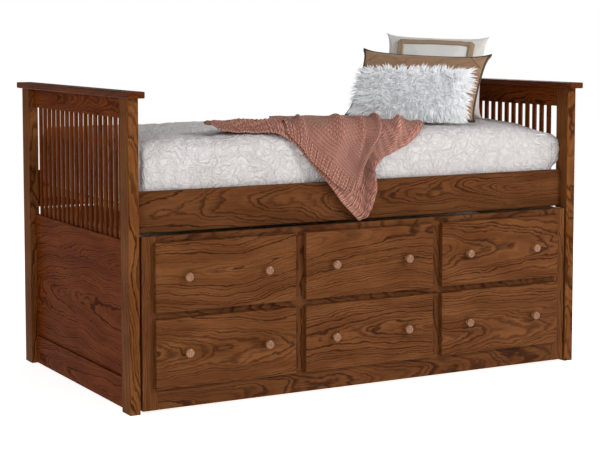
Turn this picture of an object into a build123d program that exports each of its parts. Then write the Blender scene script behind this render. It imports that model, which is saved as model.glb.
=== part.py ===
from build123d import *
import math
import os

# Trundle bed in stained oak: two identical slatted ends joined by hook-on side rails, a
# dressed twin mattress on a slat deck, and a roll-out trundle under it that carries a
# second mattress behind three fixed fronts, over three drawers.
# Millimetres.  +X runs along the bed to its head end, +Y from front to back, +Z up.

os.makedirs("parts", exist_ok=True)

# ---------------------------------------------------------------- driving dimensions
bed_length = 2007.0          # over the outer faces of the posts
bed_width = 1118.0           # over the front and back faces of the posts
post_height = 1143.0
post_x, post_y = 41.0, 76.0
cap_thick, cap_width = 24.0, 66.0
cap_side_over, cap_end_over = 12.5, 32.0

end_rail_thick = 20.0        # rails of the end frames, flush with the posts' inner faces
top_rail_z = (1067.0, 1143.0)
mid_rail_z = (518.0, 624.0)
bottom_rail_z = (3.0, 117.0)
tenon_thick, tenon_length, tenon_shoulder = 10.0, 40.0, 12.0
slat_count, slat_pitch = 18, 49.5
slat_wide, slat_thick, slat_housing = 20.0, 10.0, 8.0
end_panel_thick, panel_groove = 6.0, 8.0

side_rail_thick, side_rail_setback = 20.0, 40.0
side_rail_z = (652.0, 804.0)
cleat_size, cleat_half_length = 25.0, 940.0
deck_slat_count, deck_slat_wide, deck_slat_thick = 13, 70.0, 19.0
deck_top = 735.0

case_half = 953.5            # half the length of the trundle
case_front = 2.0             # face frame, behind the front plane of the posts
case_depth = 1050.0
case_z = (10.0, 645.0)
frame_thick = 20.0
ply = 12.0
overlay = 12.0               # how far each front laps over the face frame
front_wide, front_high, front_thick = 577.0, 255.0, 19.0
front_gap_x, front_gap_z = 42.0, 24.0
lower_front_z = 88.0
knob_spread, knob_radius, knob_reach = 328.0, 17.0, 28.0

box_deep, box_high, box_wall, box_bottom = 500.0, 200.0, 12.0, 6.0
slide_side = 13.0            # room for one slide beside a drawer box
slide_length, slide_height, slide_steel = 450.0, 42.0, 1.5
drawer_closed_gap = 0.5

wheel_radius, wheel_wide, axle_radius = 25.0, 20.0, 4.0
axle_clearance = 0.05
fork_steel, fork_inside = 2.5, 24.0

# ---------------------------------------------------------------- derived places
post_out = bed_length / 2
post_in = post_out - post_x
knob_over = knob_reach + front_thick + drawer_closed_gap - case_front  # ahead of the posts
front_y = -(bed_width + cap_end_over - knob_over) / 2  # front plane of the posts
back_y = front_y + bed_width
middle_y = (front_y + back_y) / 2
rail_mid_x = post_in + end_rail_thick / 2              # middle of the end frames

case_front_y = front_y + case_front
case_back_y = case_front_y + case_depth
front_centres = [i * (front_wide + front_gap_x) for i in (-1, 0, 1)]
upper_front_z = lower_front_z + front_high + front_gap_z
mullion_centres = [i * (front_wide + front_gap_x) / 2 for i in (-1, 1)]
row_names = ("left", "center", "right")


# ---------------------------------------------------------------- helpers
def block(x, y, z, mode=Mode.ADD):
    """A box filling the ranges x, y and z of the part being built."""
    with Locations(((x[0] + x[1]) / 2, (y[0] + y[1]) / 2, (z[0] + z[1]) / 2)):
        Box(abs(x[1] - x[0]), abs(y[1] - y[0]), abs(z[1] - z[0]), mode=mode)


def grown(span, margin):
    """A range made longer by the margin at both ends."""
    return (span[0] - margin, span[1] + margin)


def around(middle, size):
    """A range of the given size about its middle."""
    return (middle - size / 2, middle + size / 2)


def mirrored(span, side):
    """A range of X on the left (side -1) or right (side +1) of the bed."""
    return (span[0], span[1]) if side > 0 else (-span[1], -span[0])


def ease(part, axis, radius):
    """Round the edges of a board that run along one axis."""
    fillet(part.edges().filter_by(axis), radius)


def save(builder, name):
    """Label a finished piece and write its STEP file."""
    builder.part.label = name
    export_step(builder.part, f"parts/{name}.step")


def save_boards(name, boards):
    """Write one node of plain boards that touch but stay separate pieces."""
    pieces = []
    for label, x, y, z in boards:
        with BuildPart() as board:
            block(x, y, z)
        board.part.label = label
        pieces.append(board.part)
    export_step(Compound(label=name, children=pieces), f"parts/{name}.step")


def slat_centres():
    """Y of each slat in an end frame."""
    first = middle_y - slat_pitch * (slat_count - 1) / 2
    return [first + slat_pitch * i for i in range(slat_count)]


# ---------------------------------------------------------------- end frames
rail_rows = (("top_rail", top_rail_z), ("mid_rail", mid_rail_z), ("bottom_rail", bottom_rail_z))
panel_z = (bottom_rail_z[1] - panel_groove, mid_rail_z[0] + panel_groove)
between_posts = (front_y + post_y, back_y - post_y)
rail_hook_z = (side_rail_z[0] + 22, side_rail_z[1] - 22)
side_rail_mid = side_rail_setback + side_rail_thick / 2
hook_steel, hook_wide, hook_drop = 2.5, 16.0, 22.0


def hook_heights():
    """The lower edge of each of the two hooks in a rail bracket."""
    return (rail_hook_z[0] + 16, rail_hook_z[1] - 16 - hook_drop)


def cut_post_joints(side, rail_y):
    """Mortises, panel groove and rail bracket recess in the post being built."""
    for _, rail_z in rail_rows:
        block(mirrored(around(rail_mid_x, tenon_thick), side), grown(between_posts, tenon_length),
              grown(rail_z, -tenon_shoulder), Mode.SUBTRACT)
    block(mirrored(around(rail_mid_x, end_panel_thick), side), grown(between_posts, panel_groove),
          panel_z, Mode.SUBTRACT)
    block(mirrored((post_in, post_in + hook_steel), side), around(rail_y, hook_wide),
          rail_hook_z, Mode.SUBTRACT)
    for low in hook_heights():
        block(mirrored((post_in, post_in + 9), side), around(rail_y, 6),
              (low - 8, low + hook_drop + 1), Mode.SUBTRACT)


for end, side in (("left", -1), ("right", 1)):
    for row, post_span, rail_y in (
        ("front", (front_y, front_y + post_y), front_y + side_rail_mid),
        ("back", (back_y - post_y, back_y), back_y - side_rail_mid),
    ):
        with BuildPart() as post:
            block(mirrored((post_in, post_out), side), post_span, (0, post_height))
            ease(post, Axis.Z, 3)
            chamfer(post.faces().sort_by(Axis.Z)[0].edges(), 1.5)
            cut_post_joints(side, rail_y)
        save(post, f"post_{row}_{end}")

    with BuildPart() as cap:
        block(mirrored((post_out + cap_side_over - cap_width, post_out + cap_side_over), side),
              (front_y - cap_end_over, back_y + cap_end_over),
              (post_height, post_height + cap_thick))
        fillet(cap.edges(), 4)
    save(cap, f"cap_{end}")

    for rail_name, rail_z in rail_rows:
        with BuildPart() as rail:
            block(mirrored((post_in, post_in + end_rail_thick), side), between_posts, rail_z)
            ease(rail, Axis.Y, 1.5)
            block(mirrored(around(rail_mid_x, tenon_thick), side),
                  grown(between_posts, tenon_length), grown(rail_z, -tenon_shoulder))
            if rail_name != "top_rail":
                block(mirrored(around(rail_mid_x, end_panel_thick), side),
                      grown(between_posts, panel_groove), panel_z, Mode.SUBTRACT)
            if rail_name != "bottom_rail":
                seat = (mid_rail_z[1] - slat_housing, top_rail_z[0] + slat_housing)
                for slat_y in slat_centres():
                    block(mirrored(around(rail_mid_x, slat_thick), side),
                          around(slat_y, slat_wide), seat, Mode.SUBTRACT)
        save(rail, f"{rail_name}_{end}")

    with BuildPart() as panel:
        block(mirrored(around(rail_mid_x, end_panel_thick), side),
              grown(between_posts, panel_groove), panel_z)
    save(panel, f"end_panel_{end}")

    with BuildPart() as slats:
        for slat_y in slat_centres():
            block(mirrored(around(rail_mid_x, slat_thick), side), around(slat_y, slat_wide),
                  (mid_rail_z[1] - slat_housing, top_rail_z[0] + slat_housing))
    save(slats, f"end_slats_{end}")

# ---------------------------------------------------------------- side rails and deck
rail_end = post_in - 0.5
for row, face_y, inward in (("front", front_y + side_rail_setback, 1),
                            ("back", back_y - side_rail_setback, -1)):
    rail_y = tuple(sorted((face_y, face_y + inward * side_rail_thick)))
    with BuildPart() as side_rail:
        block((-rail_end, rail_end), rail_y, side_rail_z)
        ease(side_rail, Axis.X, 3)
        for side in (-1, 1):
            block(mirrored((rail_end - hook_steel, rail_end), side),
                  around(sum(rail_y) / 2, hook_wide), rail_hook_z, Mode.SUBTRACT)
    save(side_rail, f"side_rail_{row}")

# Each bracket is a hooked plate let into the rail's end and a slotted plate let into the post.
with BuildPart() as brackets:
    for side in (-1, 1):
        for bracket_y in (front_y + side_rail_mid, back_y - side_rail_mid):
            block(mirrored((rail_end - hook_steel, rail_end), side),
                  around(bracket_y, hook_wide), rail_hook_z)
            for low in hook_heights():
                block(mirrored((rail_end, post_in + 7), side), around(bracket_y, 3),
                      (low, low + hook_drop))
                block(mirrored((post_in + 4, post_in + 7), side), around(bracket_y, 3),
                      (low - 6, low))
    for side in (-1, 1):
        for bracket_y in (front_y + side_rail_mid, back_y - side_rail_mid):
            block(mirrored((post_in, post_in + hook_steel), side),
                  around(bracket_y, hook_wide), rail_hook_z)
            for low in hook_heights():
                block(mirrored((rail_end + 0.01, post_in + hook_steel + 0.5), side),
                      around(bracket_y, 4), (low - 1, low + hook_drop + 1), Mode.SUBTRACT)
                block(mirrored((rail_end, post_in + 7), side), around(bracket_y, 3),
                      (low, low + hook_drop))
save(brackets, "rail_brackets")

deck_inside = (front_y + side_rail_setback + side_rail_thick,
               back_y - side_rail_setback - side_rail_thick)
cleat_top = deck_top - deck_slat_thick
with BuildPart() as cleats:
    for cleat_y in ((deck_inside[0], deck_inside[0] + cleat_size),
                    (deck_inside[1] - cleat_size, deck_inside[1])):
        block((-cleat_half_length, cleat_half_length), cleat_y, (cleat_top - cleat_size, cleat_top))
save(cleats, "deck_cleats")

with BuildPart() as deck_slats:
    pitch = (2 * cleat_half_length - deck_slat_wide) / (deck_slat_count - 1)
    for i in range(deck_slat_count):
        slat_x = -cleat_half_length + deck_slat_wide / 2 + pitch * i
        block(around(slat_x, deck_slat_wide), grown(deck_inside, -2), (cleat_top, deck_top))
save(deck_slats, "deck_slats")

# ---------------------------------------------------------------- bedding
mattress_half, mattress_side, mattress_top = 944.0, 484.0, 989.0
coverlet_half, coverlet_side, coverlet_top, coverlet_hem = 955.0, 495.0, 1000.0, 762.0
coverlet_thick = 10.0

with BuildPart() as mattress:
    block((-mattress_half, mattress_half), around(middle_y, 2 * mattress_side),
          (deck_top, mattress_top))
    ease(mattress, Axis.Z, 60)
    fillet(mattress.faces().sort_by(Axis.Z)[-1].edges(), 40)
    fillet(mattress.faces().sort_by(Axis.Z)[0].edges(), 20)
save(mattress, "mattress")

with BuildPart() as coverlet:
    block((-coverlet_half, coverlet_half), around(middle_y, 2 * coverlet_side),
          (coverlet_hem, coverlet_top))
    ease(coverlet, Axis.Z, 70)
    fillet(coverlet.faces().sort_by(Axis.Z)[-1].edges(), 50)
    offset(amount=-coverlet_thick, openings=coverlet.faces().sort_by(Axis.Z)[0])
save(coverlet, "coverlet")

# The throw lies over the coverlet, bends over its front edge and the side rail, and hangs
# to a point in front of the rail.
throw_thick = 12.0
throw_top_outline = [(-640, 130), (-520, 300), (-150, 560), (60, 540), (320, 235), (180, 62),
                     (-250, 62)]
throw_tip_outline = [(-190, 820), (62, 820), (52, 760), (-10, 662), (-40, 662), (-110, 740)]
coverlet_front = middle_y - coverlet_side - front_y
with BuildPart() as throw:
    with BuildSketch(Plane.XY.offset(coverlet_top + 1)):
        with BuildLine():
            Polyline([(x, front_y + y) for x, y in throw_top_outline], close=True)
        make_face()
    extrude(amount=throw_thick)
    block((-220, 130), (front_y + coverlet_front - 1 - throw_thick, front_y + coverlet_front - 1),
          (806, coverlet_top + 1 + throw_thick))
    block((-190, 62), (front_y + side_rail_setback - 2 - throw_thick, front_y + coverlet_front - 1),
          (806, 820))
    with BuildSketch(Plane.XZ.offset(-(front_y + side_rail_setback - 2))):
        with BuildLine():
            Polyline(throw_tip_outline, close=True)
        make_face()
    extrude(amount=throw_thick)
save(throw, "throw")


def pillow_plane(x, y, turn, lean):
    """The middle plane of a pillow that stands on its lower seam at x, y on the coverlet.

    turn swings the pillow's face from the foot of the bed towards its front, and lean tips
    it back from upright, in degrees.
    """
    across = Vector(math.sin(math.radians(turn)), -math.cos(math.radians(turn)), 0)
    ahead = Vector(-math.cos(math.radians(turn)), -math.sin(math.radians(turn)), 0)
    facing = ahead * math.cos(math.radians(lean)) + Vector(0, 0, math.sin(math.radians(lean)))
    return Plane(origin=(x, front_y + y, coverlet_top + 4), x_dir=across, z_dir=facing)


pillows = (
    # name, x, y from the posts' front plane, turn, lean, width, height, thickness
    ("pillow_braid", 613, 490, 52, 36, 440, 435, 120),
    ("pillow_suede", 461, 380, 42, 40, 560, 350, 76),
    ("pillow_fur", 388, 315, 42, 36, 520, 280, 76),
)
for name, x, y, turn, lean, wide, high, thick in pillows:
    with BuildPart() as pillow:
        with BuildSketch(pillow_plane(x, y, turn, lean)):
            with Locations((0, high / 2)):
                RectangleRounded(wide, high, 30)
        extrude(amount=thick / 2, both=True, taper=45)
    save(pillow, name)

# ---------------------------------------------------------------- trundle case
stile_wide = (2 * case_half - 3 * front_wide - 2 * front_gap_x) / 2 + overlay
mullion_wide = front_gap_x + 2 * overlay
frame_y = (case_front_y, case_front_y + frame_thick)
frame_rails = (
    ("frame_top_rail", (upper_front_z + front_high - overlay, case_z[1])),
    ("frame_mid_rail", (lower_front_z + front_high - overlay, upper_front_z + overlay)),
    ("frame_bottom_rail", (case_z[0], lower_front_z + overlay)),
)
openings_z = [(frame_rails[1][1][1], frame_rails[0][1][0]),
              (frame_rails[2][1][1], frame_rails[1][1][0])]

with BuildPart() as stiles:
    for side in (-1, 1):
        block(mirrored((case_half - stile_wide, case_half), side), frame_y, case_z)
    fillet(stiles.edges().filter_by(Axis.Z).group_by(Axis.Y)[0], 1.5)
save(stiles, "frame_stiles")

for name, rail_z in frame_rails:
    with BuildPart() as frame_rail:
        block((-case_half + stile_wide, case_half - stile_wide), frame_y, rail_z)
        fillet(frame_rail.edges().filter_by(Axis.X).group_by(Axis.Y)[0], 1.5)
    save(frame_rail, name)

with BuildPart() as mullions:
    for mullion_x in mullion_centres:
        for opening_z in openings_z:
            block(around(mullion_x, mullion_wide), frame_y, opening_z)
save(mullions, "frame_mullions")

case_y = (frame_y[1], case_back_y - ply)
base_z = (66.0, 66.0 + ply)
tray_z = (frame_rails[1][1][1] - ply, frame_rails[1][1][1])
with BuildPart() as case_sides:
    for side in (-1, 1):
        block(mirrored((case_half - ply, case_half), side), case_y, case_z)
save(case_sides, "case_sides")

with BuildPart() as case_back:
    block((-case_half, case_half), (case_back_y - ply, case_back_y), case_z)
save(case_back, "case_back")

for name, board_z in (("case_bottom", base_z), ("trundle_deck", tray_z)):
    with BuildPart() as board:
        block((-case_half + ply, case_half - ply), case_y, board_z)
    save(board, name)

with BuildPart() as partitions:
    for mullion_x in mullion_centres:
        block(around(mullion_x, ply), case_y, (base_z[1], tray_z[0]))
save(partitions, "case_partitions")

with BuildPart() as trundle_mattress:
    block(around(0, 2 * (case_half - ply) - 14), grown(case_y, -12), (tray_z[1], tray_z[1] + 200))
    ease(trundle_mattress, Axis.Z, 50)
    fillet(trundle_mattress.faces().sort_by(Axis.Z)[-1].edges(), 30)
save(trundle_mattress, "trundle_mattress")


# ---------------------------------------------------------------- fronts and knobs
def front_board(centre_x, low_z, gap):
    """One slab front with eased face edges, its back a gap ahead of the face frame."""
    block(around(centre_x, front_wide),
          (case_front_y - gap - front_thick, case_front_y - gap), (low_z, low_z + front_high))


def add_knobs(centre_x, low_z, gap):
    """The pair of turned knobs of one front, added to the part being built.

    Each has a neck that swells to a shallow mushroom head with a dished centre.
    """
    face_y = case_front_y - gap - front_thick
    for knob_x in around(centre_x, knob_spread):
        foot = (knob_x, face_y, low_z + front_high / 2)
        with BuildSketch(Plane(foot, x_dir=(1, 0, 0), z_dir=(0, 0, 1))) as turned:
            with BuildLine():
                Polyline((0, -24), (0, 0), (9, 0), (9, -2))
                ThreePointArc((9, -2), (6.5, -8), (9, -13.5))
                ThreePointArc((9, -13.5), (14.5, -15.5), (knob_radius, -20))
                ThreePointArc((knob_radius, -20), (15, -25.5), (10, -knob_reach))
                Line((10, -knob_reach), (7.5, -27.2))
                TangentArc((0, -24), (7.5, -27.2), tangent=(1, 0))
            make_face()
        revolve(turned.sketch, axis=Axis(foot, (0, 1, 0)))


with BuildPart() as false_fronts:
    for centre_x in front_centres:
        front_board(centre_x, upper_front_z, 0)
    fillet(false_fronts.faces().filter_by(Axis.Y).group_by(Axis.Y)[0].edges(), 3.5)
save(false_fronts, "false_fronts")

with BuildPart() as false_knobs:
    for centre_x in front_centres:
        add_knobs(centre_x, upper_front_z, 0)
save(false_knobs, "false_front_knobs")

# ---------------------------------------------------------------- drawers and slides
box_z = around((openings_z[1][0] + openings_z[1][1]) / 2 - 8, box_high)
box_y = (case_front_y - drawer_closed_gap, case_front_y - drawer_closed_gap + box_deep)
slide_z = around(box_z[0] + 70, slide_height)
slide_y = (frame_y[1] + 2, frame_y[1] + 2 + slide_length)


def bay(index):
    """The face frame opening of one drawer, as a range of X."""
    left = -case_half + stile_wide if index == 0 else mullion_centres[index - 1] + mullion_wide / 2
    right = case_half - stile_wide if index == 2 else mullion_centres[index] - mullion_wide / 2
    return (left, right)


def bay_walls(index):
    """The inner faces of the boards on both sides of one drawer bay."""
    left = -case_half + ply if index == 0 else mullion_centres[index - 1] + ply / 2
    right = case_half - ply if index == 2 else mullion_centres[index] - ply / 2
    return (left, right)


with BuildPart() as blocks:
    for index in range(3):
        for wall, edge in zip(bay_walls(index), bay(index)):
            block(sorted((wall, edge)), slide_y, grown(slide_z, 8))
save(blocks, "slide_blocks")

# The outer member of a slide is a channel on the block, open towards the drawer.
channel_deep = 9.0
with BuildPart() as channels:
    for index in range(3):
        for edge, inward in zip(bay(index), (1, -1)):
            block(sorted((edge, edge + inward * slide_steel)), slide_y, slide_z)
            for lip in (slide_z[0], slide_z[1] - slide_steel):
                block(sorted((edge, edge + inward * channel_deep)), slide_y,
                      (lip, lip + slide_steel))
save(channels, "cabinet_slides")

for index, name in enumerate(row_names):
    box_x = grown(bay(index), -slide_side)
    with BuildPart() as drawer_front:
        front_board(front_centres[index], lower_front_z, drawer_closed_gap)
        fillet(drawer_front.faces().sort_by(Axis.Y)[0].edges(), 3.5)
    save(drawer_front, f"drawer_{name}_front")

    with BuildPart() as drawer_knobs:
        add_knobs(front_centres[index], lower_front_z, drawer_closed_gap)
    save(drawer_knobs, f"drawer_{name}_knobs")

    inside_x, inside_y = grown(box_x, -box_wall), grown(box_y, -box_wall)
    save_boards(f"drawer_{name}_box", (
        ("left", (box_x[0], inside_x[0]), box_y, box_z),
        ("right", (inside_x[1], box_x[1]), box_y, box_z),
        ("front", inside_x, (box_y[0], inside_y[0]), box_z),
        ("back", inside_x, (inside_y[1], box_y[1]), box_z),
        ("bottom", inside_x, inside_y, (box_z[0] + 8, box_z[0] + 8 + box_bottom)),
    ))

    with BuildPart() as runners:
        for edge, inward in zip(box_x, (-1, 1)):
            block(sorted((edge, edge + inward * 2)), slide_y, grown(slide_z, -8))
            block(sorted((edge + inward * 2, edge + inward * (slide_side - 3))), slide_y,
                  grown(slide_z, -12))
    save(runners, f"drawer_{name}_runners")

# ---------------------------------------------------------------- casters
caster_x = case_half - 90.0
caster_rows = (("front", case_front_y + 95.0), ("back", case_back_y - 95.0))
plate_half_x, plate_half_y = 26.0, 32.0
fork_half = fork_inside / 2

with BuildPart() as forks:
    for side in (-1, 1):
        for _, wheel_y in caster_rows:
            wheel_x = side * caster_x
            block(around(wheel_x, 2 * plate_half_x), around(wheel_y, 2 * plate_half_y),
                  (base_z[0] - fork_steel, base_z[0]))
            for inward in (-1, 1):
                cheek = sorted((wheel_x + inward * fork_half,
                                wheel_x + inward * (fork_half + fork_steel)))
                with BuildSketch(Plane.YZ.offset(cheek[0])):
                    with BuildLine():
                        Polyline((wheel_y - 20, base_z[0] - fork_steel), (wheel_y - 8, 19),
                                 (wheel_y + 8, 19), (wheel_y + 20, base_z[0] - fork_steel),
                                 close=True)
                    make_face()
                extrude(amount=fork_steel)
    for side in (-1, 1):
        for _, wheel_y in caster_rows:
            with Locations(Location((side * caster_x, wheel_y, wheel_radius), (0, 90, 0))):
                Cylinder(axle_radius + axle_clearance, fork_inside + 10, mode=Mode.SUBTRACT)
save(forks, "caster_forks")

with BuildPart() as axles:
    for side in (-1, 1):
        for _, wheel_y in caster_rows:
            with Locations(Location((side * caster_x, wheel_y, wheel_radius), (0, 90, 0))):
                Cylinder(axle_radius, fork_inside + 2 * fork_steel + 4)
save(axles, "caster_axles")

for end, side in (("left", -1), ("right", 1)):
    for row, wheel_y in caster_rows:
        with BuildPart() as wheel:
            with Locations(Location((side * caster_x, wheel_y, wheel_radius), (0, 90, 0))):
                Cylinder(wheel_radius, wheel_wide)
                chamfer(wheel.edges().filter_by(GeomType.CIRCLE), 2)
                Cylinder(axle_radius + axle_clearance, wheel_wide, mode=Mode.SUBTRACT)
        save(wheel, f"caster_wheel_{row}_{end}")
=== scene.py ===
"""A twin captain's bed in stained oak: slatted ends, a trundle unit faced with drawers, made up with a
matelasse coverlet, a knitted throw and three pillows. Blender 4.5, in metres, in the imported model's frame.
"""

import collections
import itertools
import math

import bmesh
import bpy
import numpy as np
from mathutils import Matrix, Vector


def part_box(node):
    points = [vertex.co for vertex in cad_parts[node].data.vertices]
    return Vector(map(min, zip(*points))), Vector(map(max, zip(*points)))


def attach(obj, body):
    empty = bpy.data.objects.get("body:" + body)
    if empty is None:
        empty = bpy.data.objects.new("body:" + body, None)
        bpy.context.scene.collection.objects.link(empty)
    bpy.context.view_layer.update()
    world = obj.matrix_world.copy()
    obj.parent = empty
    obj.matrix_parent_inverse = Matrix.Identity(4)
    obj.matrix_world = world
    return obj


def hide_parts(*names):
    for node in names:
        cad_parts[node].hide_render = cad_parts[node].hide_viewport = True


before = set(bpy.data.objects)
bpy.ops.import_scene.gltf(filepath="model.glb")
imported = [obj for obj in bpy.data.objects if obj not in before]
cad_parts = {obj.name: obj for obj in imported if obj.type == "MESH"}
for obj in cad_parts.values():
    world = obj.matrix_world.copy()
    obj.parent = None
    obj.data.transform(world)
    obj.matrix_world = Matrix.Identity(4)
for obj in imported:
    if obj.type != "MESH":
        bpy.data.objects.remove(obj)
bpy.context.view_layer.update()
SEED = 7

LONG, ACROSS, UP = 0, 1, 2  # the frame's axes: +X to the pillow end, +Y front to back, +Z up
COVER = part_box("coverlet")
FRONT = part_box("post_front_left")[0][ACROSS]
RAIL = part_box("side_rail_front")


# ---- shader graph


class Wire:
    """A shader value that takes part in sums: each operator adds a Math node to its material."""

    def __init__(self, finish, socket):
        self.math, self.socket = finish.math, socket

    def __add__(self, other):
        return self.math("ADD", self, other)

    def __sub__(self, other):
        return self.math("SUBTRACT", self, other)

    def __rsub__(self, other):
        return self.math("SUBTRACT", other, self)

    def __mul__(self, other):
        return self.math("MULTIPLY", self, other)

    def __truediv__(self, other):
        return self.math("DIVIDE", self, other)

    def __pow__(self, other):
        return self.math("POWER", self, other)

    def __abs__(self):
        return self.math("ABSOLUTE", self)


class Finish:
    """One material, with short calls for the nodes that the finishes below share."""

    def __init__(self, name, **surface):
        self.material = bpy.data.materials.new(name)
        self.material.use_nodes = True
        self.tree = self.material.node_tree
        self.surface = self.tree.nodes["Principled BSDF"]
        for socket, value in surface.items():
            self.surface.inputs[socket.replace("_", " ")].default_value = value

    def node(self, kind, **settings):
        made = self.tree.nodes.new("ShaderNode" + kind)
        for key, value in settings.items():
            setattr(made, key, value)
        return made

    def feed(self, socket, value):
        """Link a Wire or a socket to a socket, or set the socket to a plain value."""
        if isinstance(value, Wire):
            value = value.socket
        if isinstance(value, bpy.types.NodeSocket):
            self.tree.links.new(value, socket)
        else:
            socket.default_value = value

    def through(self, made, values, keys=None, output=0):
        """An output of a node whose inputs, in order or by their keys, are given the values."""
        for socket, value in zip([made.inputs[key] for key in keys] if keys else made.inputs, values):
            self.feed(socket, value)
        return Wire(self, made.outputs[output])

    def math(self, operation, *values, clamp=False):
        return self.through(self.node("Math", operation=operation, use_clamp=clamp), values)

    def vector(self, operation, *values):
        return self.through(self.node("VectorMath", operation=operation), values)

    def place(self):
        return Wire(self, self.node("TexCoord").outputs["Object"])

    def pattern(self):
        """The piece's flat pattern in metres, which its mesh carries as a UV map."""
        return Wire(self, self.node("UVMap", uv_map="pattern").outputs[0])

    def split(self, vector):
        made = self.node("SeparateXYZ")
        self.feed(made.inputs[0], vector)
        return [Wire(self, output) for output in made.outputs]

    def join(self, *parts):
        return self.through(self.node("CombineXYZ"), parts)

    def noise(self, at, scale=1.0, detail=2.0, roughness=0.5, distortion=0.0, output="Fac"):
        keys = ("Vector", "Scale", "Detail", "Roughness", "Distortion")
        return self.through(self.node("TexNoise"), (at, scale, detail, roughness, distortion), keys, output)

    def span(self, value, low, high, to_low=0.0, to_high=1.0):
        """value's place between low and high, eased, from to_low to to_high."""
        made = self.node("MapRange", interpolation_type="SMOOTHSTEP")
        return self.through(made, (value, low, high, to_low, to_high))

    def ramp(self, value, *stops):
        made = self.node("ValToRGB")
        marks = made.color_ramp.elements
        while len(marks) < len(stops):
            marks.new(0.5)
        for mark, (at, colour) in zip(marks, stops):
            mark.position = at
            mark.color = (*colour, 1)
        return self.through(made, (value,))

    def mix(self, factor, first, second):
        made = self.node("Mix", data_type="RGBA")
        colours = [(*value, 1) if isinstance(value, tuple) else value for value in (first, second)]
        return self.through(made, (factor, *colours), (0, 6, 7), output=2)  # the node's colour sockets

    def bump(self, height, distance, strength=1.0, under=None):
        made = self.node("Bump")
        if under:
            self.feed(made.inputs["Normal"], under)
        return self.through(made, (height, distance, strength), ("Height", "Distance", "Strength"))

    def finish(self, colour, normal=None, roughness=None):
        for socket, value in (("Base Color", colour), ("Roughness", roughness), ("Normal", normal)):
            if value:
                self.feed(self.surface.inputs[socket], value)
        return self.material


# ---- wood


# A stain's colours in the early wood and between it, and the specular level of its lacquer.
Stain = collections.namedtuple("Stain", "dark mid light shine")
OAK = Stain((0.026, 0.0060, 0.0012), (0.097, 0.0292, 0.0069), (0.176, 0.0650, 0.0198), 0.05)
OAK_RAIL = Stain((0.024, 0.0056, 0.0010), (0.085, 0.0253, 0.0060), (0.150, 0.0545, 0.0164), 0.05)
OAK_POST = Stain((0.028, 0.0068, 0.0013), (0.110, 0.0330, 0.0078), (0.200, 0.0750, 0.0230), 0.008)
OAK_END = Stain((0.030, 0.0045, 0.0006), (0.102, 0.0190, 0.0022), (0.165, 0.0400, 0.0060), 0.008)
OAK_CAP = Stain((0.030, 0.0060, 0.0015), (0.086, 0.0180, 0.0034), (0.135, 0.0340, 0.0080), 0.03)
OAK_KNOB = Stain((0.120, 0.0360, 0.0100), (0.205, 0.0820, 0.0310), (0.300, 0.1320, 0.0540), 0.55)
POPLAR = Stain((0.420, 0.2700, 0.1400), (0.560, 0.4000, 0.2400), (0.650, 0.5000, 0.3300), 0.20)
RING = 0.0060  # the growth rings' spacing
WIDE_RING = 0.0085  # in the fronts


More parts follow.
